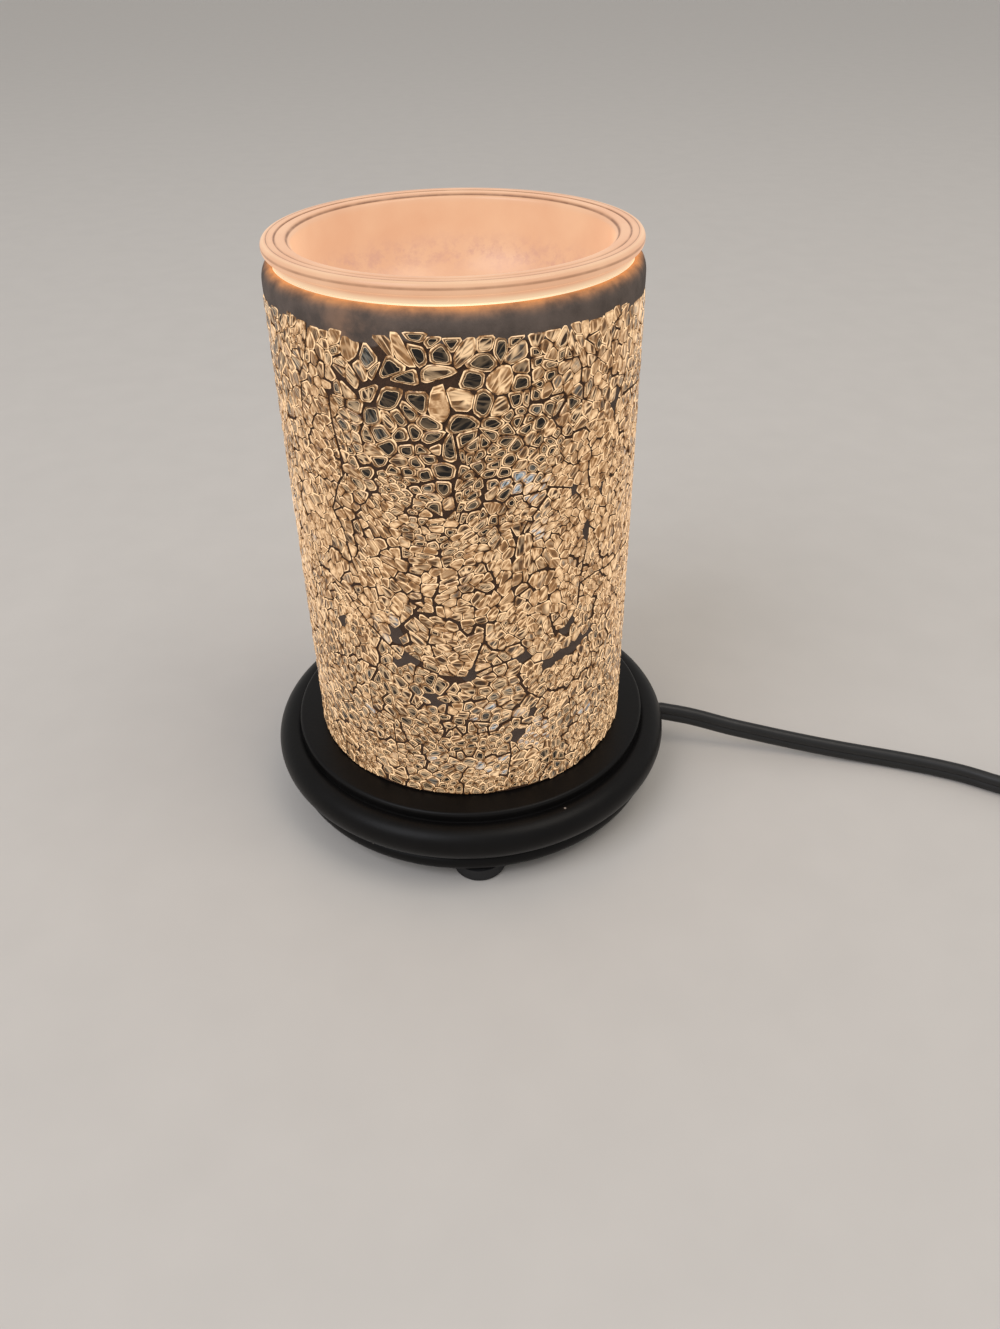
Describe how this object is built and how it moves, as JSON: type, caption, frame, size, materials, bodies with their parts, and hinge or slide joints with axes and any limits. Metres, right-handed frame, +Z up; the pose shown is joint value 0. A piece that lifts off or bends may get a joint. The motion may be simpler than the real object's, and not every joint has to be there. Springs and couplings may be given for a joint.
{
  "type": "electric wax warmer",
  "caption": "Glass wax dish on a cylindrical crackle-mosaic glass shade, lit and warmed by a reflector lamp in a round turned base, with a mains lead, roller switch and plug.",
  "frame": {"origin": "on the warmer's axis, on the surface that its feet stand on", "axes": "+Z up along the shade, +X towards the side where the cord leaves the base, -Y towards the front"},
  "size_m": [0.3771, 0.1254, 0.1621],
  "materials": {
    "black_painted_wood": "satin black paint",
    "fibreboard": "matt",
    "rubber": "matt",
    "clear_glass": "clear",
    "frosted_glass": "frosted",
    "crackled_glass": "crackled mosaic",
    "grout": "matt",
    "ceramic": "satin",
    "mirrored_glass": "mirror coated",
    "zinc_plated_steel": "bright zinc",
    "brass": "bright",
    "silicone_sleeve": "matt",
    "nylon": "matt",
    "black_vinyl": "satin"
  },
  "bodies": {
    "root": {"base_body": "black_painted_wood", "base_plate": "fibreboard", "plate_screw_1": "zinc_plated_steel", "plate_screw_2": "zinc_plated_steel", "plate_screw_3": "zinc_plated_steel", "plate_screw_4": "zinc_plated_steel", "foot_front": "rubber", "foot_right": "rubber", "foot_back": "rubber", "foot_left": "rubber", "cord_bush": "nylon", "shade_glass": "clear_glass", "grout_bed": "grout", "mosaic": "crackled_glass", "lamp_bracket": "zinc_plated_steel", "bracket_screw_left": "zinc_plated_steel", "bracket_screw_right": "zinc_plated_steel", "lamp_holder": "ceramic", "holder_screw_front": "zinc_plated_steel", "holder_screw_back": "zinc_plated_steel", "holder_contact_left": "brass", "holder_contact_right": "brass", "lamp_lead_front": "silicone_sleeve", "lamp_lead_back": "silicone_sleeve", "splice_cap_front": "nylon", "splice_cap_back": "nylon", "cord_core_front": "black_vinyl", "cord_core_back": "black_vinyl", "cord_lead": "black_vinyl", "switch_lower_shell": "black_vinyl", "switch_upper_shell": "black_vinyl", "switch_screw": "zinc_plated_steel", "switch_contact_left": "brass", "switch_contact_right": "brass", "cord_link": "black_vinyl", "cord_coil": "black_vinyl", "coil_tie": "black_vinyl", "cord_tail": "black_vinyl", "plug_body": "black_vinyl", "plug_blade_front": "brass", "plug_blade_back": "brass"},
    "dish": {"dish": "frosted_glass"},
    "lamp": {"lamp_cap": "ceramic", "lamp_pin_left": "zinc_plated_steel", "lamp_pin_right": "zinc_plated_steel", "lamp_reflector": "mirrored_glass", "lamp_lens": "clear_glass", "lamp_capsule": "clear_glass"},
    "roller": {"switch_roller": "black_vinyl"}
  },
  "joints": [
    {"name": "dish_lift", "type": "slide", "parent": "root", "child": "dish", "axis": [0, 0, 1], "range_m": [0, 0.08]},
    {"name": "lamp_twist", "type": "hinge", "parent": "root", "child": "lamp", "pos_m": [0, 0, 0.0416], "axis": [0, 0, 1], "range_deg": [0, 30]},
    {"name": "roller_spin", "type": "hinge", "parent": "root", "child": "roller", "pos_m": [0.2151, -0.0347, 0.006], "axis": [0, 0, 1], "continuous": true}
  ]
}
